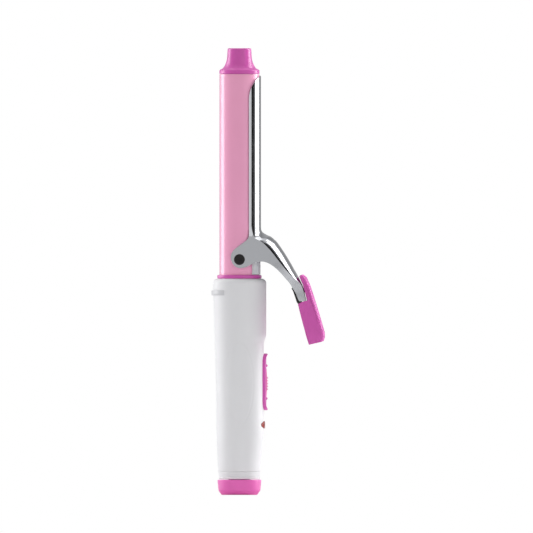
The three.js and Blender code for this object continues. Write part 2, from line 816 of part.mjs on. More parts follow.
function makeSwivel() {
  const cap = lathe([
    [GLAND_R + GAP, 0],
    [8.45, 0],
    [10, 2.1],
    [10.45, CAP_TOP],
    [8.9, CAP_TOP],
    [8.6, 1.9],
    [GLAND_R + GAP, 1.9],
    [GLAND_R + GAP, 0],
  ]);
  const spindle = lathe([
    [GLAND_R + GAP, 2.1],
    [8.2, 2.1],
    [8.2, 4.6],
    [SPINDLE_R, 4.6],
    [SPINDLE_R, 20.4],
    [GLAND_R + GAP, 20.4],
    [GLAND_R + GAP, 2.1],
  ]);
  const gland = lathe([
    [3.1, 0.1],
    [GLAND_R, 0.1],
    [GLAND_R, 9],
    [3.1, 9],
    [3.1, 0.1],
  ]);
  add("end_cap", cap, MAGENTA);
  add("swivel_spindle", spindle.subtract(barX(1, 3, 5.6, 0, 19.3, 12)), WHITE);
  add("cord_gland", gland, BLACK);
  add("slip_ring_live", ring(SPINDLE_R + 0.15, 6.2, 14, 15.4, 28), BRASS);
  add("slip_ring_neutral", ring(SPINDLE_R + 0.15, 6.2, 16.8, 18.2, 28), BRASS);
  add("swivel_clip", ring(SPINDLE_R + 0.15, 7, 19, 20, 28), STEEL);

  const brushes = [
    ["brush_live", -1.2, 14.1],
    ["brush_neutral", 1.2, 16.9],
  ];
  for (const [name, y, z] of brushes) {
    const path = [
      [6.5, z + 0.2],
      [6.6, z + 0.9],
      [7.6, z + 3],
      [7.4, 21.5],
      [4.9, 24.4],
      [4.7, 27],
    ];
    add(name, strip(path, 0.35, 0.8).translate([0, y, 0]), BRASS);
  }
}

makeHandle();
makeRestFoot();
makeBarrel();
makeSpring();
makeHeater();
makeClip();
makePad();
makeLiner();
makeSwitch();
makeBoard();
makeSwivel();

export default group;
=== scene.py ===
import json
import math

import bmesh
import bpy
from mathutils import Matrix, Vector


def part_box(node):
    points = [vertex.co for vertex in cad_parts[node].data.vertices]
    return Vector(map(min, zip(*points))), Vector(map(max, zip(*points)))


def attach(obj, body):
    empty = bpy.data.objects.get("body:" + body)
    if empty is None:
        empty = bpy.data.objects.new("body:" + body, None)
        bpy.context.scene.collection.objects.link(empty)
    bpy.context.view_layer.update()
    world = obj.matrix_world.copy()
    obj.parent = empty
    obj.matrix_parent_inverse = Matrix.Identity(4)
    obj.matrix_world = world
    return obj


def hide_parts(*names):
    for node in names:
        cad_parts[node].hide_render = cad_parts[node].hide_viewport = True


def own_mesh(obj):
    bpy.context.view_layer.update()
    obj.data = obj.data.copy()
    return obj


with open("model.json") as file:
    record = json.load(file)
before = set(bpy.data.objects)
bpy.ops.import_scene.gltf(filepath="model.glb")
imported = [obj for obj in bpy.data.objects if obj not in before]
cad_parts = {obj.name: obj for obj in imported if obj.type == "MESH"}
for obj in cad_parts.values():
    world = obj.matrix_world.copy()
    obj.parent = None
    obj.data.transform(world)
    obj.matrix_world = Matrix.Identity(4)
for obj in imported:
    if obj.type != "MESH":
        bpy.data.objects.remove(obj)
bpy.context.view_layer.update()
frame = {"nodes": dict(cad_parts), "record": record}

MM = 0.001
BODIES = frame["record"]["behaviour"]["bodies"]
TURN = 2 * math.pi

# Driving places, in millimetres, read off the frame where it states them.
AXIS_X = sum(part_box("barrel_tube")[i].x for i in (0, 1)) / 2 / MM
BARREL_R = (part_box("barrel_tube")[1].y) / MM
BARREL_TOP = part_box("barrel_tube")[1].z / MM
TIP_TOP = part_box("tip_cap")[1].z / MM
HANDLE_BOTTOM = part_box("handle_shell")[0].z / MM
HANDLE_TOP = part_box("handle_shell")[1].z / MM
COLLAR_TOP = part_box("collar_ring")[1].z / MM
COLLAR_R = 10.55
PIVOT_Z = 111.8
SHEET = 0.6
CLIP_R = 10.25
CLIP_HALF_ANGLE = 63.5
CLIP_TOP = 199
CLIP_TIP_LENGTH = 11.4
LAND_R = 11.65
SHOULDER_R = 12.75
SWITCH_Z = 53.7
KNOB_Z = 53.4
LENS_Z = 33.3
LENS_HALF_WIDTH = 5.4
LENS_HALF_HEIGHT = 1.75


# ---- Materials ----


def node(tree, kind, **inputs):
    made = tree.nodes.new(kind)
    for name, value in inputs.items():
        made.inputs[name.replace("_", " ")].default_value = value
    return made


def noise(tree, coords, scale, detail=3.0, stretch=None):
    """Noise in object coordinates, stretched along an axis if asked."""
    source = coords.outputs["Object"]
    if stretch:
        mapping = tree.nodes.new("ShaderNodeMapping")
        mapping.inputs["Scale"].default_value = stretch
        tree.links.new(source, mapping.inputs["Vector"])
        source = mapping.outputs["Vector"]
    made = node(tree, "ShaderNodeTexNoise", Scale=scale, Detail=detail)
    tree.links.new(source, made.inputs["Vector"])
    return made.outputs["Fac"]


def ramp(tree, value, low, high, start=0.3, end=0.7):
    """Maps a noise value to a range."""
    made = tree.nodes.new("ShaderNodeMapRange")
    made.inputs["From Min"].default_value = start
    made.inputs["From Max"].default_value = end
    made.inputs["To Min"].default_value = low
    made.inputs["To Max"].default_value = high
    tree.links.new(value, made.inputs["Value"])
    return made.outputs["Result"]


def blend_colours(tree, value, dark, light):
    made = tree.nodes.new("ShaderNodeValToRGB")
    made.color_ramp.elements[0].position = 0.3
    made.color_ramp.elements[1].position = 0.7
    made.color_ramp.elements[0].color = (*dark, 1)
    made.color_ramp.elements[1].color = (*light, 1)
    tree.links.new(value, made.inputs["Fac"])
    return made.outputs["Color"]


def shader(name, colour, spread, rough, rough_spread, **values):
    """Principled material with noise in its colour, roughness and relief."""
    grain = values.pop("grain", 900)
    relief = values.pop("relief", 0.02)
    stretch = values.pop("stretch", None)
    patch = values.pop("patch", 60)
    made = bpy.data.materials.new(name)
    made.use_nodes = True
    tree = made.node_tree
    main = tree.nodes["Principled BSDF"]
    coords = tree.nodes.new("ShaderNodeTexCoord")
    cloud = noise(tree, coords, patch)
    dark = tuple(c * (1 - spread) for c in colour)
    light = tuple(min(c * (1 + spread), 1) for c in colour)
    tree.links.new(blend_colours(tree, cloud, dark, light), main.inputs["Base Color"])
    wear = noise(tree, coords, patch * 3, 5.0, stretch)
    level = ramp(tree, wear, rough - rough_spread, rough + rough_spread)
    tree.links.new(level, main.inputs["Roughness"])
    fine = noise(tree, coords, grain, 2.0, stretch)
    bump = node(tree, "ShaderNodeBump", Strength=relief, Distance=0.0002)
    tree.links.new(fine, bump.inputs["Height"])
    tree.links.new(bump.outputs["Normal"], main.inputs["Normal"])
    for key, value in values.items():
        main.inputs[key.replace("_", " ")].default_value = value
    return made


def linear(r, g, b):
    """Linear colour of an sRGB one, each 0 to 255."""
    out = []
    for c in (r, g, b):
        c /= 255
        out.append(c / 12.92 if c <= 0.04045 else ((c + 0.055) / 1.055) ** 2.4)
    return tuple(out)


WHITE = shader("white_shell", linear(236, 236, 238), 0.004, 0.5, 0.03, grain=1500, relief=0.01)
# Grey plastic; on the rest foot, which is white plastic, this darker grey is painted shade on its flat
# side.
GREY = shader("grey_plastic", linear(214, 214, 217), 0.02, 0.38, 0.04, relief=0.04)
PINK = shader("pink_coating", linear(255, 170, 208), 0.015, 0.45, 0.03,
              Coat_Weight=1.0, Coat_Roughness=0.05, grain=900, relief=0.004)
MAGENTA = shader("magenta_plastic", linear(219, 88, 182), 0.03, 0.33, 0.05, relief=0.05,
                 Coat_Weight=0.25, Coat_Roughness=0.2)
SATIN = shader("magenta_grip", linear(217, 90, 182), 0.03, 0.42, 0.05, grain=2500, relief=0.12)
CHROME = shader("chrome", linear(214, 216, 220), 0.015, 0.09, 0.025, Metallic=1.0, relief=0.015)
STEEL = shader("steel", linear(160, 162, 166), 0.04, 0.32, 0.06, Metallic=1.0, relief=0.08,
               stretch=(1, 1, 12))
BLACKENED = shader("black_finish", linear(26, 24, 25), 0.1, 0.45, 0.05, Metallic=0.3, relief=0.08)
BLACK = shader("black_plastic", linear(28, 27, 28), 0.08, 0.5, 0.06, relief=0.1)
RUBBER = shader("black_rubber", linear(40, 40, 41), 0.08, 0.7, 0.06, relief=0.15)
LEAD_RED = shader("lead_red", linear(160, 40, 34), 0.06, 0.5, 0.06)
ALUMINIUM = shader("aluminium", linear(190, 192, 196), 0.04, 0.4, 0.06, Metallic=1.0)
RED = shader("red_lens", linear(148, 30, 20), 0.06, 0.25, 0.03, relief=0.01)
GREEN = shader("green_board", linear(52, 112, 74), 0.1, 0.5, 0.06)
KNOB_PINK = shader("light_magenta", linear(236, 128, 188), 0.02, 0.4, 0.05, relief=0.03)
# Lighter copy of the magenta plastic for the end cap: painted light, standing in for the brighter light
# on the cap's front.
LIT_CAP_MAGENTA = shader("cap_magenta_painted_light", linear(243, 108, 194), 0.02, 0.33, 0.05, relief=0.05)
# Chrome plate with a white, part-diffuse base: real metal reflection, plus painted reflection in the
# white diffuse share that stands in for its bright reflected band.
PLATE = shader("plate_painted_reflection", linear(236, 237, 239), 0.01, 0.3, 0.03, Metallic=0.4, relief=0.01)
BRASS = shader("brass", linear(196, 164, 92), 0.05, 0.32, 0.06, Metallic=1.0)
BUSH = shader("heat_bush", linear(214, 208, 196), 0.03, 0.7, 0.05)

BY_SLOT = {
    "white_shell": WHITE,
    "magenta_plastic": MAGENTA,
    "heat_bush": BUSH,
    "pink_coating": PINK,
    "grey_plastic": GREY,
    "chrome": CHROME,
    "steel": STEEL,
    "black_finish": BLACKENED,
    "black_plastic": BLACK,
    "lead_black": RUBBER,
    "lead_red": LEAD_RED,
    "black_rubber": RUBBER,
    "aluminium": ALUMINIUM,
    "red_lens": RED,
    "green_board": GREEN,
    "brass": BRASS,
}
SLOT_OF = {s["node"]: s["material_slot"] for s in frame["record"]["subparts"]}


def finish_frame():
    """Gives every CAD node the finish of its slot."""
    for name, obj in frame["nodes"].items():
        if not obj.material_slots:
            obj.data.materials.append(None)
        for slot in obj.material_slots:
            slot.material = BY_SLOT[SLOT_OF[name]]


# ---- Mesh makers, all in millimetres round the barrel's axis ----


def body_of(name):
    return next(body for body, nodes in BODIES.items() if name in nodes)


def make_object(name, bm, material, replaced, smooth_angle=35):
    """Puts a bmesh in the scene as one piece that rides with the node it replaces."""
    bmesh.ops.remove_doubles(bm, verts=bm.verts, dist=1e-4)
    bmesh.ops.recalc_face_normals(bm, faces=bm.faces)
    bmesh.ops.scale(bm, vec=(MM, MM, MM), verts=bm.verts)
    bmesh.ops.translate(bm, vec=(AXIS_X * MM, 0, 0), verts=bm.verts)
    mesh = bpy.data.meshes.new(name)
    bm.to_mesh(mesh)
    bm.free()
    mesh.materials.append(material)
    obj = bpy.data.objects.new(name, mesh)
    bpy.context.collection.objects.link(obj)
    for face in mesh.polygons:
        face.use_smooth = True
    mesh.set_sharp_from_angle(angle=math.radians(smooth_angle))
    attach(obj, body_of(replaced[0]))
    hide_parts(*replaced)
    return obj


def rounded(profile, steps=5):
    """A [radius, z, corner] profile as points, each corner rounded by its own radius."""
    out = []
    count = len(profile)
    for i, (r, z, corner) in enumerate(profile):
        here = Vector((r, z))
        if corner == 0 or i in (0, count - 1):
            out.append(here)
            continue
        before = Vector(profile[i - 1][:2]) - here
        after = Vector(profile[i + 1][:2]) - here
        cut = min(corner, before.length * 0.49, after.length * 0.49)
        start = here + before.normalized() * cut
        end = here + after.normalized() * cut
        for k in range(steps + 1):
            t = k / steps
            out.append(start * (1 - t) ** 2 + here * 2 * t * (1 - t) + end * t * t)
    return out


def lathe(profile, segments=96):
    """Turned body; a profile that starts and ends on the axis is closed there."""
    bm = bmesh.new()
    points = rounded(profile)
    rings = []
    for p in points:
        if abs(p.x) < 1e-6:
            rings.append([bm.verts.new((0, 0, p.y))])
            continue
        rings.append([
            bm.verts.new((p.x * math.cos(TURN * k / segments), p.x * math.sin(TURN * k / segments), p.y))
            for k in range(segments)
        ])
    closed = len(rings[0]) > 1
    pairs = list(zip(rings, rings[1:]))
    if closed:
        pairs.append((rings[-1], rings[0]))
    for low, high in pairs:
        join_rings(bm, low, high, segments)
    return bm


def join_rings(bm, low, high, segments):
    for k in range(segments):
        n = (k + 1) % segments
        if len(low) == 1 and len(high) > 1:
            bm.faces.new((low[0], high[n], high[k]))
        elif len(high) == 1 and len(low) > 1:
            bm.faces.new((low[k], low[n], high[0]))
        elif len(low) > 1:
            bm.faces.new((low[k], low[n], high[n], high[k]))


def closed_grid(outer, inner):
    """Closed skin over two grids of points, rows by columns."""
    bm = bmesh.new()
    sides = [[[bm.verts.new(p) for p in row] for row in grid] for grid in (outer, inner)]
    rows, columns = len(outer), len(outer[0])
    for i in range(rows - 1):
        for j in range(columns - 1):
            for side in sides:
                bm.faces.new((side[i][j], side[i][j + 1], side[i + 1][j + 1], side[i + 1][j]))
        for j in (0, columns - 1):
            a, b = sides[0], sides[1]
            bm.faces.new((a[i][j], b[i][j], b[i + 1][j], a[i + 1][j]))
    for j in range(columns - 1):
        for i in (0, rows - 1):
            a, b = sides[0], sides[1]
            bm.faces.new((a[i][j], a[i][j + 1], b[i][j + 1], b[i][j]))
    return bm


def slot_outline(length, width, steps=14):
    """Points of a round-ended slot, long in z, round the origin."""
    half = (length - width) / 2
    points = []
    for end in (1, -1):
        for k in range(steps + 1):
            angle = math.pi * k / steps + (0 if end > 0 else math.pi)
            points.append((math.cos(angle) * width / 2, math.sin(angle) * width / 2 + end * half))
    return points


def stack(outlines, cap_start=True, cap_end=True):
    """Closed body through equal outlines of 3-D points."""
    bm = bmesh.new()
    rings = [[bm.verts.new(p) for p in outline] for outline in outlines]
    count = len(outlines[0])
    for low, high in zip(rings, rings[1:]):
        join_rings(bm, low, high, count)
    if cap_start:
        bm.faces.new(list(reversed(rings[0])))
    if cap_end:
        bm.faces.new(rings[-1])
    return bm


def smoothstep(t):
    t = min(max(t, 0), 1)
    return t * t * (3 - 2 * t)


def along(table, x):
    """Value of a piecewise straight curve of (x, y) pairs."""
    if x <= table[0][0]:
        return table[0][1]
    for (x0, y0), (x1, y1) in zip(table, table[1:]):
        if x <= x1:
            return y0 + (y1 - y0) * (x - x0) / (x1 - x0)
    return table[-1][1]


# ---- Handle ----

BACK_RADIUS = ((10.9, 10.1), (24.7, 10.8), (54.6, 11.2), (71, 11.7), (92.6, 12.4), (100.5, 12.6))

OVAL_HALF_WIDTH = 6.65
OVAL_HALF_HEIGHT = 19
OVAL_Z = 52.7


def front_radius(z):
    back = along(BACK_RADIUS, z)
    if z >= 72:
        return LAND_R + (SHOULDER_R - LAND_R) * smoothstep((z - 72) / 4)
    if z >= 31:
        return LAND_R
    return back + (LAND_R - along(BACK_RADIUS, 31)) * smoothstep((z - 12) / 19)


def handle_radius(angle, z):
    off = abs(math.atan2(math.sin(angle), math.cos(angle)))
    share = 1 - smoothstep((off - 0.45) / 1.1)
    back = along(BACK_RADIUS, z)
    return back + (front_radius(z) - back) * share


def side_mark(angle, z):
    """Depth of the fine oval line pressed into each side of the handle."""
    r = handle_radius(angle, z)
    x = r * math.cos(angle)
    reach = math.hypot(x / OVAL_HALF_WIDTH, (z - OVAL_Z) / OVAL_HALF_HEIGHT)
    off = (reach - 1) * OVAL_HALF_WIDTH
    return 0.1 * math.exp(-((off / 0.22) ** 2))


def make_handle():
    levels = [(HANDLE_BOTTOM, 1.6), (10.92, 0.35), (11.02, 0.16), (11.2, 0.04), (11.45, 0)]
    z = 12.0
    while z < 100.4:
        levels.append((z, 0))
        z += 0.5 if 32 < z < 76.5 else 1.5
    for k in range(9):
        angle = math.pi / 2 * k / 8
        levels.append((100.5 + 2.2 * math.sin(angle), 2.2 * (1 - math.cos(angle))))
    segments = 240
    outlines = []
    for z, inset in levels:
        ring = []
        for k in range(segments):
            angle = TURN * k / segments
            r = handle_radius(angle, z) - inset - side_mark(angle, z)
            ring.append((r * math.cos(angle), r * math.sin(angle), z))
        outlines.append(ring)
    top = [[(9.9 * math.cos(TURN * k / segments), 9.9 * math.sin(TURN * k / segments), z)
            for k in range(segments)] for z in (HANDLE_TOP, 99)]
    low = [[(8.1 * math.cos(TURN * k / segments), 8.1 * math.sin(TURN * k / segments), z)
            for k in range(segments)] for z in (60, HANDLE_BOTTOM)]
    bm = stack(outlines + top + low, False, False)
    return make_object("Handle_shell", bm, WHITE, ["handle_shell"], 40)


def make_rings():
    neck = [(5.6, 7.4, 0), (9.5, 7.4, 0.15), (9.72, 7.65, 0.15), (9.74, 8.4, 0.1), (9.5, 8.55, 0.05),
            (9.5, 8.75, 0.05), (9.76, 8.9, 0.1), (9.9, 10.2, 0.3), (9.95, 10.86, 0.05), (5.6, 10.86, 0)]
    make_object("Neck_ring", lathe(neck), WHITE, ["neck_ring"])
    collar = [(9.65, HANDLE_TOP + 0.05, 0), (COLLAR_R - 0.1, HANDLE_TOP + 0.05, 0.3),
              (COLLAR_R, HANDLE_TOP + 0.8, 0.3), (COLLAR_R, COLLAR_TOP - 0.1, 0.5),
              (9.65, COLLAR_TOP, 0.1)]
    make_object("Collar_ring", lathe(collar), MAGENTA, ["collar_ring"])


def make_rest_foot():
    """Crescent that stands proud of the handle's back."""
    outer, inner = [], []
    spread = math.radians(54.6)
    heights = (94.8, 94.95, 95.3, 96, 96.7, 97.05, 97.2)
    proud = (0.55, 0.82, 0.95, 1, 0.95, 0.82, 0.55)
    for k in range(61):
        angle = math.pi - spread + 2 * spread * k / 60
        taper = 1 - abs(k / 30 - 1) ** 6
        out_row, in_row = [], []
        for z, share in zip(heights, proud):
            base = handle_radius(angle, z) - 0.3
            r = base + 0.35 + (13.35 - base - 0.35) * share * (0.25 + 0.75 * taper)
            out_row.append((r * math.cos(angle), r * math.sin(angle), z))
            in_row.append((base * math.cos(angle), base * math.sin(angle), z))
        outer.append(out_row)
        inner.append(in_row)
    # The rest foot is white plastic; its grey finish is painted shade on its flat side.
    make_object("Rest_foot", closed_grid(outer, inner), GREY, ["rest_foot"], 50)


# ---- Barrel, tip and end cap ----


def make_barrel():
    tube = [(8.7, 76, 0), (BARREL_R, 76, 0), (BARREL_R, BARREL_TOP, 0.1), (8.7, BARREL_TOP, 0)]
    make_object("Barrel_tube", lathe(tube, 160), PINK, ["barrel_tube"])
    tip = [(0, 191, 0), (8.5, 191, 0), (8.5, 200, 0), (9.45, 200, 0.15), (9.55, 200.3, 0.2),
           (9.55, 201.7, 0.6), (8.9, 202.2, 0.5), (8.0, 202.5, 1.2), (6.95, 204, 2), (6.25, 205.7, 2),
           (5.88, 207.4, 2), (5.6, TIP_TOP - 0.2, 0.5), (5.0, TIP_TOP, 0.3), (0, TIP_TOP, 0)]
    make_object("Tip_cap", lathe(tip), MAGENTA, ["tip_cap"])
    cap = [(4.1, 0, 0.1), (8.45, 0, 0.35), (10.0, 2.1, 0.5), (10.4, 6.9, 0.3), (10.3, 7.2, 0.15),
           (8.9, 7.2, 0.1), (8.6, 1.9, 0), (4.1, 1.9, 0)]
    # The end cap wears the lighter magenta copy: painted light on its front.
    make_object("End_cap", lathe(cap, 128), LIT_CAP_MAGENTA, ["end_cap"])


def make_pins():
    """Round-headed pivot pins, each with a shallow dimple."""
    head = [(0, 0, 0), (1.2, 0, 0), (1.2, 3.8, 0), (2.55, 3.8, 0.1), (2.6, 4.0, 0.1),
            (2.6, 4.55, 0.35), (2.1, 4.85, 0.3), (0.9, 4.8, 0.1), (0.8, 4.6, 0.1), (0, 4.6, 0)]
    for side, name in ((-1, "pivot_screw_right"), (1, "pivot_screw_left")):
        bm = lathe(head, 48)
        turn = Matrix.Rotation(-side * math.pi / 2, 4, "X")
        bmesh.ops.transform(bm, matrix=turn, verts=bm.verts)
        bmesh.ops.translate(bm, vec=(0, side * 6.62, PIVOT_Z), verts=bm.verts)
        make_object(name.capitalize(), bm, BLACKENED, [name])


# ---- Clip ----

# Side view of the lever: ear edge, crease, crown, half width, and share turned to channel.
STATIONS = (
    ((4.57, 125), (6.6, 125.2), (10.8, 126.2), 10.25, 0.12),
    ((4.45, 123.3), (6.9, 123.7), (11.8, 125.1), 10.25, 0.35),
    ((3.5, 121.5), (7.8, 122.3), (13, 124.1), 10.25, 0.65),
    ((1.9, 120.1), (8.6, 121.5), (14, 123.3), 10.25, 0.88),
    ((-0.5, 118.1), (9.4, 120.9), (14.8, 122.8), 10.25, 1),
    ((-2.6, 116.4), (10.2, 120.4), (15.5, 122.3), 10.25, 1),
    ((-3.8, 114.6), (10.9, 119.9), (16.1, 121.8), 10.25, 1),
    ((-4.1, 112.6), (11.6, 119.4), (16.6, 121.3), 10.25, 1),
    ((-3.5, 110.4), (12.3, 118.7), (17.1, 120.9), 10.25, 1),
    ((-2, 108.5), (13, 118), (17.6, 120.4), 10.25, 1),
    ((0.4, 107.7), (13.7, 117.2), (18.1, 119.8), 10.25, 1),
    ((3.3, 108.3), (14.4, 116.5), (18.6, 119.1), 10.25, 1),
    ((5.6, 109.4), (15.1, 115.7), (19.1, 118.4), 10.25, 1),
    ((7.6, 110.4), (15.8, 114.8), (19.7, 117.6), 10.25, 1),
    ((9.6, 110.85), (16.6, 113.8), (20.4, 116.5), 10.25, 1),
    ((12, 110.65), (17.5, 112.6), (21.3, 115.2), 10.25, 1),
    ((14.4, 109.7), (18.7, 111.1), (22.3, 113.6), 10.25, 1),
    ((16.6, 108.2), (20.1, 109.4), (23.5, 111.6), 10.2, 1),
    ((18.6, 106.4), (21.6, 107.5), (24.7, 109.6), 10.1, 1),
    ((20.6, 104.3), (23.2, 105.7), (25.9, 107.4), 9.9, 1),
    ((22.4, 102.2), (24.8, 104), (27.2, 105.2), 9.6, 1),
    ((24, 100.3), (26.7, 102.4), (28.4, 102.8), 9.3, 1),
    ((25.1, 98.5), (29, 100.3), (29.6, 100.4), 9.1, 1),
    ((26.6, 96), (30.2, 97.5), (30.6, 97.6), 8.9, 1),
    ((27.6, 93.7), (30.9, 94.8), (31.2, 94.9), 8.8, 1),
    ((28.4, 92), (31.6, 92), (31.9, 92.1), 8.7, 1),
)
TROUGH_ROWS = ((180, 180), (170, 170), (160, 160), (150, 150), (140, 140), (134, 134.6),
               (131, 131.9), (129, 130.1), (127.6, 128.8), (126.3, 127.5))
EAR_STEPS = 8
CROWN_STEPS = 18
HALF_STEPS = EAR_STEPS + CROWN_STEPS
FINER = 4
FLAT_SHARE = 0.157
CREASE_SLOPE = 0.73


def curve_value(values, t):
    """Catmull-Rom value of a list of numbers at a place between its ends."""
    i = min(int(t), len(values) - 2)
    u = t - i
    p1, p2 = values[i], values[i + 1]
    p0 = values[i - 1] if i > 0 else 2 * p1 - p2
    p3 = values[i + 2] if i + 2 < len(values) else 2 * p2 - p1
    return 0.5 * (2 * p1 + (p2 - p0) * u + (2 * p0 - 5 * p1 + 4 * p2 - p3) * u * u
                  + (3 * p1 - p0 - 3 * p2 + p3) * u ** 3)


def fine_stations():
    """The stations' seven numbers, smoothed and taken FINER times as close."""
    flat = [(*s[0], *s[1], *s[2], s[3], s[4]) for s in STATIONS]
    columns = list(zip(*flat))
    out = []
    for k in range((len(flat) - 1) * FINER + 1):
        t = k / FINER
        out.append([curve_value(c, t) for c in columns])
    return out


def band_share(step):
    """Share of the way from the clip's edge to its middle, the edge strip taking FLAT_SHARE."""
    if step <= EAR_STEPS:
        return FLAT_SHARE * step / EAR_STEPS
    return FLAT_SHARE + (1 - FLAT_SHARE) * (step - EAR_STEPS) / CROWN_STEPS


def trough_point(share, half_angle, z):
    angle = math.radians(half_angle * (1 - share))
    return Vector((CLIP_R * math.cos(angle), CLIP_R * math.sin(angle), z))


def channel_point(step, station):
    bx, bz, cx, cz, kx, kz, half, _ = station
    if step <= EAR_STEPS:
        t = step / EAR_STEPS
        return Vector((bx + (cx - bx) * t, half, bz + (cz - bz) * t))
    depth = CREASE_SLOPE * math.hypot(kx - cx, kz - cz) / half
    low = depth / (1 - depth)
    first = math.asin(low)
    angle = first + (step - EAR_STEPS) / CROWN_STEPS * (math.pi / 2 - first)
    rise = (math.sin(angle) - low) / (1 - low)
    across = 0 if step == HALF_STEPS else half * math.cos(angle) / math.cos(first)
    return Vector((cx + (kx - cx) * rise, across, cz + (kz - cz) * rise))


def clip_row(point_at):
    row = []
    for j in range(-HALF_STEPS, HALF_STEPS + 1):
        p = point_at(HALF_STEPS - abs(j))
        row.append(Vector((p.x, -math.copysign(1, j) * p.y if j else 0, p.z)))
    return row


def clip_rows():
    rows = []
    for k in range(1, 25):
        s = math.cos(math.pi / 2 * k / 24) if k < 24 else 0
        s = min(s, 0.998)
        z = CLIP_TOP - CLIP_TIP_LENGTH * (1 - s)
        angle = CLIP_HALF_ANGLE * (1 - s ** 2.2) ** (1 / 2.2)
        rows.append(clip_row(lambda step: trough_point(band_share(step), angle, z)))
    for edge_z, crown_z in TROUGH_ROWS:
        def straight(step):
            share = band_share(step)
            return trough_point(share, CLIP_HALF_ANGLE, edge_z + (crown_z - edge_z) * share)
        rows.append(clip_row(straight))
    for station in fine_stations():
        def blended(step):
            share = band_share(step)
            z = station[1] + (station[5] - station[1]) * share
            turned = min(max(station[7], 0), 1)
            return trough_point(share, CLIP_HALF_ANGLE, z).lerp(channel_point(step, station), turned)
        rows.append(clip_row(blended))
    return rows


def offset_skin(rows, distance):
    last, end = len(rows) - 1, len(rows[0]) - 1
    out = []
    for i, row in enumerate(rows):
        made = []
        for j, p in enumerate(row):
            down = rows[min(i + 1, last)][j] - rows[max(i - 1, 0)][j]
            across = row[min(j + 1, end)] - row[max(j - 1, 0)]
            made.append(p + across.cross(down).normalized() * distance)
        out.append(made)
    return out


def make_clip():
    rows = clip_rows()
    bm = closed_grid(rows, offset_skin(rows, -SHEET))
    arm = make_object("Clip_arm", bm, CHROME, ["clip_arm"], 32)
    bevel = arm.modifiers.new("edges", "BEVEL")
    bevel.width = 0.00012
    bevel.segments = 2
    bevel.limit_method = "ANGLE"
    bevel.angle_limit = math.radians(50)


PAD_BACK = ((28.4, 103.75), (29.95, 100.2), (31.2, 95.8), (32.1, 92.3), (29.7, 91.7), (27.75, 90.7),
            (28.6, 87.1), (29.5, 83.6), (30.6, 79.6), (31.6, 75.7), (32.4, 73.1), (33, 71.3))
PAD_FRONT = ((30.3, 104.8), (32.0, 103.4), (33.8, 99.4), (35.3, 94.8), (36.3, 91.5), (36.8, 90),
             (38, 86), (39, 82.7), (39.9, 79.6), (40.6, 77.2), (40.65, 74.8), (40, 73))


def pad_half_width(z):
    return along(((71.3, 8.1), (75, 8.6), (92, 9.2), (101, 9.1), (104.8, 8.2)), z)


def make_pad():
    """Thumb pad: side outline carried across, its long front edges well rounded."""
    outline_back = [Vector(p) for p in PAD_BACK]
    outline_front = [Vector(p) for p in PAD_FRONT]
    widths = [-1, -0.985, -0.95, -0.88, -0.78, -0.64, -0.45, -0.22, 0,
              0.22, 0.45, 0.64, 0.78, 0.88, 0.95, 0.985, 1]
    outlines = []
    for w in widths:
        inset = 1.7 * (1 - math.sqrt(max(1 - abs(w) ** 5, 0)))
        edge = 0.35 * (1 - math.sqrt(max(1 - abs(w) ** 24, 0)))
        ring = []
        for b in outline_back:
            half = pad_half_width(b.y)
            ring.append((b.x + edge * 0.8, w * half, b.y + edge * 0.2))
        for f in reversed(outline_front):
            half = pad_half_width(f.y)
            ring.append((f.x - inset * 0.95, w * half, f.y - inset * 0.28))
        outlines.append(ring)
    bm = stack(outlines)
    pad = make_object("Thumb_pad", bm, SATIN, ["thumb_pad"], 60)
    bevel = pad.modifiers.new("edges", "BEVEL")
    bevel.width = 0.0005
    bevel.segments = 3
    bevel.limit_method = "ANGLE"
    bevel.angle_limit = math.radians(32)


def strip(path, thickness, half_width, crown=0.0, columns=9):
    """Flat strip along a side path, with a little crown across its width."""
    outer, inner = [], []
    for i, (x, z) in enumerate(path):
        ax, az = path[max(i - 1, 0)]
        bx, bz = path[min(i + 1, len(path) - 1)]
        normal = Vector((-(bz - az), 0, bx - ax)).normalized() * thickness / 2
        rows = ([], [])
        for j in range(columns):
            y = half_width * (2 * j / (columns - 1) - 1)
            lift = normal.normalized() * crown * (1 - (y / half_width) ** 2)
            rows[0].append(Vector((x, y, z)) + normal + lift)
            rows[1].append(Vector((x, y, z)) - normal + lift)
        outer.append(rows[0])
        inner.append(rows[1])
    return closed_grid(outer, inner)


def smooth_path(points, per=6):
    xs, zs = [p[0] for p in points], [p[1] for p in points]
    count = (len(points) - 1) * per
    return [(curve_value(xs, k / per), curve_value(zs, k / per)) for k in range(count + 1)]


def make_strips():
    # Black strip along the inside of the lever's end, under the pad's back.
    black_strip_path = smooth_path(((25.3, 98.5), (26.1, 97.0), (27.3, 93.6), (28.0, 91.6), (28.8, 91.6),
                         (29.8, 91.8)))
    make_object("Pad_black_strip", strip(black_strip_path, 1.4, 8.1), BLACK, ["pad_liner"])
    leaf = smooth_path(((10.45, 111.7), (10.45, 115.5), (10.45, 119.2), (10.9, 120.6),
                        (12, 121.3), (13.4, 120.9), (14.8, 119.6), (17.5, 117), (20.2, 114.4),
                        (21.1, 113.1), (21.3, 112)))
    spring = make_object("Leaf_spring", strip(leaf, 0.4, 4), STEEL, ["leaf_spring"])
    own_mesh(spring)


def make_spring_plate():
    outer, inner = [], []
    spread = math.radians(52)
    for k in range(49):
        angle = -spread + 2 * spread * k / 48
        heights = (104.7, 104.9, 107, 110, 113, 116, 119.3, 119.5)
        outer.append([(10.02 * math.cos(angle), 10.02 * math.sin(angle), z) for z in heights])
        inner.append([(9.62 * math.cos(angle), 9.62 * math.sin(angle), z) for z in heights])
    # The plate's white diffuse share is painted reflection, standing in for the bright band its chrome
    # reflects.
    make_object("Spring_plate", closed_grid(outer, inner), PLATE, ["spring_plate"])


# ---- Switch and lamp ----


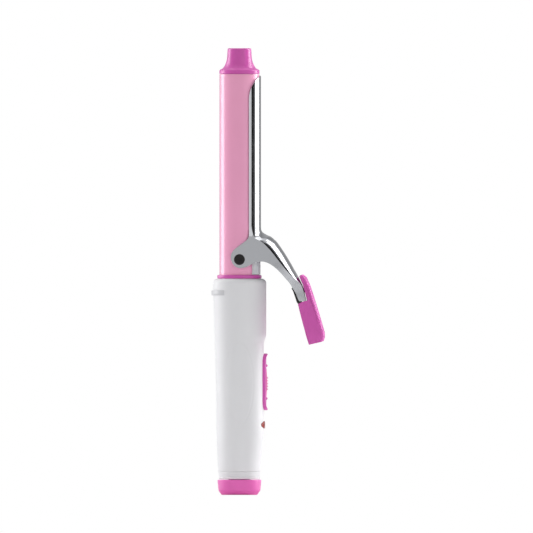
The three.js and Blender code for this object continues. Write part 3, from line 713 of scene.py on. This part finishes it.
SWITCH_AXIS_X = 7.25
BEZEL_R = 13.5 - SWITCH_AXIS_X


def switch_front(y, drop=0.0, radius=BEZEL_R):
    """How far out the switch's round front is at a place across it."""
    return SWITCH_AXIS_X + math.sqrt(radius * radius - y * y) - drop


def make_bezel():
    """Oval frame with a rolled rim round a sunk floor, all following the round front."""
    length, width = 27, 7.8
    levels = ((0, None), (0, 0.75), (0.06, 0.4), (0.2, 0.14), (0.42, 0.02), (0.62, 0.05),
              (0.8, 0.2), (0.92, 0.42), (1.0, 0.62), (1.3, 0.68), (2.2, 0.68), (3.0, 0.68))
    outlines = []
    for inset, drop in levels:
        outline = slot_outline(length - 2 * inset, width - 2 * inset, 24)
        ring = []
        for y, z in outline:
            x = 10.0 if drop is None else switch_front(y, drop)
            ring.append((x, y, SWITCH_Z + z))
        outlines.append(ring)
    bm = stack(outlines)
    for z, size in ((61.4, 0.62), (45.8, 0.62)):
        ball = bmesh.ops.create_uvsphere(bm, u_segments=20, v_segments=12, radius=size)["verts"]
        bmesh.ops.translate(bm, vec=(switch_front(0, 0.7), 0, z), verts=ball)
    make_object("Switch_bezel", bm, MAGENTA, ["switch_bezel"], 40)


def make_knob():
    """Boat-shaped slider with cross ridges."""
    outlines = []
    for inset, drop in ((0, 0.64), (0, 0.35), (0.1, 0.2), (0.3, 0.1), (0.7, 0.08), (1.2, 0.08)):
        ring = []
        for k in range(96):
            angle = TURN * k / 96
            across = (1.8 - inset) * math.copysign(abs(math.cos(angle)) ** 0.75, math.cos(angle))
            up = (6.9 - inset) * math.copysign(abs(math.sin(angle)) ** 0.95, math.sin(angle))
            sag = 0.35 * (up / 6.9) ** 2
            ring.append((switch_front(across, drop + sag + 0.2), across, KNOB_Z + up))
        outlines.append(ring)
    bm = stack(outlines)
    make_object("Switch_knob", bm, KNOB_PINK, ["switch_knob"], 40)
    for i in range(5):
        make_ridge(i)


def make_ridge(index):
    """One rounded cross ridge on the slider."""
    z = KNOB_Z - 0.5 + (index - 2) * 1.35
    outer, inner = [], []
    for k in range(9):
        angle = math.pi * k / 8
        up = 0.36 * math.cos(angle)
        out = 0.45 * math.sin(angle)
        ys = [1.4 * (2 * j / 10 - 1) for j in range(11)]
        outer.append([(switch_front(y, 0.32) + out, y, z + up) for y in ys])
        inner.append([(switch_front(y, 0.6), y, z + up) for y in ys])
    bm = closed_grid(outer, inner)
    make_object(f"Knob_ridge_{index + 1}", bm, KNOB_PINK, ["switch_knob"], 50)


def make_lamp():
    outlines = []
    levels = ((1, None), (1, 11.8), (0.97, 12.0), (0.9, 12.1), (0.7, 12.16), (0.35, 12.19),
              (0.1, 12.2))
    for scale, r in levels:
        ring = []
        for k in range(64):
            angle = TURN * k / 64
            y = LENS_HALF_WIDTH * scale * math.cos(angle)
            x = 10.0 if r is None else math.sqrt(r * r - y * y)
            ring.append((x, y, LENS_Z + LENS_HALF_HEIGHT * scale * math.sin(angle)))
        outlines.append(ring)
    make_object("Indicator_lens", stack(outlines), RED, ["indicator_lens"], 50)


# ---- Stage ----


def make_stage():
    bm = bmesh.new()
    bmesh.ops.create_grid(bm, x_segments=1, y_segments=1, size=3)
    mesh = bpy.data.meshes.new("Floor")
    bm.to_mesh(mesh)
    bm.free()
    floor = bpy.data.objects.new("Floor", mesh)
    bpy.context.collection.objects.link(floor)
    mesh.materials.append(shader("floor", linear(240, 240, 240), 0.005, 0.8, 0.02, relief=0.0, patch=3))


def area_light(name, place, target, width, height, power):
    data = bpy.data.lights.new(name, "AREA")
    data.shape = "RECTANGLE"
    data.size = width
    data.size_y = height
    data.energy = power
    made = bpy.data.objects.new(name, data)
    made.location = place
    made.rotation_euler = (Vector(target) - Vector(place)).to_track_quat("-Z", "Y").to_euler()
    bpy.context.collection.objects.link(made)
    return made


def polar(angle, distance, height):
    """A place round the object: angle in degrees from straight behind, positive to the right."""
    a = math.radians(angle)
    return (distance * math.sin(a), distance * math.cos(a), height)


def make_lights():
    middle = (0, 0, 0.11)
    area_light("Right_box", polar(68, 0.9, 0.16), middle, 0.42, 1.9, 13)
    area_light("Left_box", polar(-68, 0.9, 0.16), middle, 0.46, 1.2, 6.2)
    area_light("Top_box", (0, 0.1, 0.9), middle, 0.7, 0.7, 1.6)
    area_light("Front_box", polar(135, 1.42, 0.3), middle, 1.2, 1.9, 2.4)


def make_world():
    """Pale room: white behind the object, grey towards its front, a dark gap at the right."""
    world = bpy.data.worlds.new("Room")
    bpy.context.scene.world = world
    world.use_nodes = True
    tree = world.node_tree
    coords = tree.nodes.new("ShaderNodeTexCoord")
    split = tree.nodes.new("ShaderNodeSeparateXYZ")
    tree.links.new(coords.outputs["Generated"], split.inputs["Vector"])
    angle = tree.nodes.new("ShaderNodeMath")
    angle.operation = "ARCTAN2"
    tree.links.new(split.outputs["X"], angle.inputs[0])
    tree.links.new(split.outputs["Y"], angle.inputs[1])
    share = tree.nodes.new("ShaderNodeMapRange")
    share.inputs["From Min"].default_value = -math.pi
    share.inputs["From Max"].default_value = math.pi
    tree.links.new(angle.outputs["Value"], share.inputs["Value"])
    made = tree.nodes.new("ShaderNodeValToRGB")
    tree.links.new(share.outputs["Result"], made.inputs["Fac"])
    stops = ((-180, 0.54), (-135, 0.54), (-112, 0.42), (-92, 0.5), (-75, 0.85), (-30, 0.55),
             (0, 0.5), (35, 0.27), (60, 0.85), (80, 0.6), (92, 0.22), (97, 0.01), (110, 0.01),
             (114, 0.42), (124, 0.54), (180, 0.54))
    elements = made.color_ramp.elements
    while len(elements) < len(stops):
        elements.new(0.5)
    for element, (degrees, level) in zip(elements, stops):
        element.position = (degrees + 180) / 360
        element.color = (level, level, level * 1.01, 1)
    path = tree.nodes.new("ShaderNodeLightPath")
    mix = tree.nodes.new("ShaderNodeMix")
    mix.data_type = "RGBA"
    tree.links.new(path.outputs["Is Camera Ray"], mix.inputs["Factor"])
    tree.links.new(made.outputs["Color"], mix.inputs["A"])
    mix.inputs["B"].default_value = (1, 1, 1, 1)
    tree.links.new(mix.outputs["Result"], tree.nodes["Background"].inputs["Color"])


VIEW_WIDTH = 253.175
VIEW_MIDDLE_X = 12.87
VIEW_MIDDLE_Z = 108.5


def make_camera():
    data = bpy.data.cameras.new("Camera")
    data.type = "ORTHO"
    data.ortho_scale = VIEW_WIDTH * MM
    camera = bpy.data.objects.new("Camera", data)
    camera.location = ((AXIS_X + VIEW_MIDDLE_X) * MM, -1.5, VIEW_MIDDLE_Z * MM)
    camera.rotation_euler = (math.pi / 2, 0, 0)
    bpy.context.collection.objects.link(camera)
    bpy.context.scene.camera = camera
    bpy.context.scene.view_settings.view_transform = "Standard"


finish_frame()
make_camera()
make_handle()
make_rings()
make_rest_foot()
make_barrel()
make_pins()
make_spring_plate()
make_clip()
make_pad()
make_strips()
make_bezel()
make_knob()
make_lamp()
make_stage()
make_lights()
make_world()
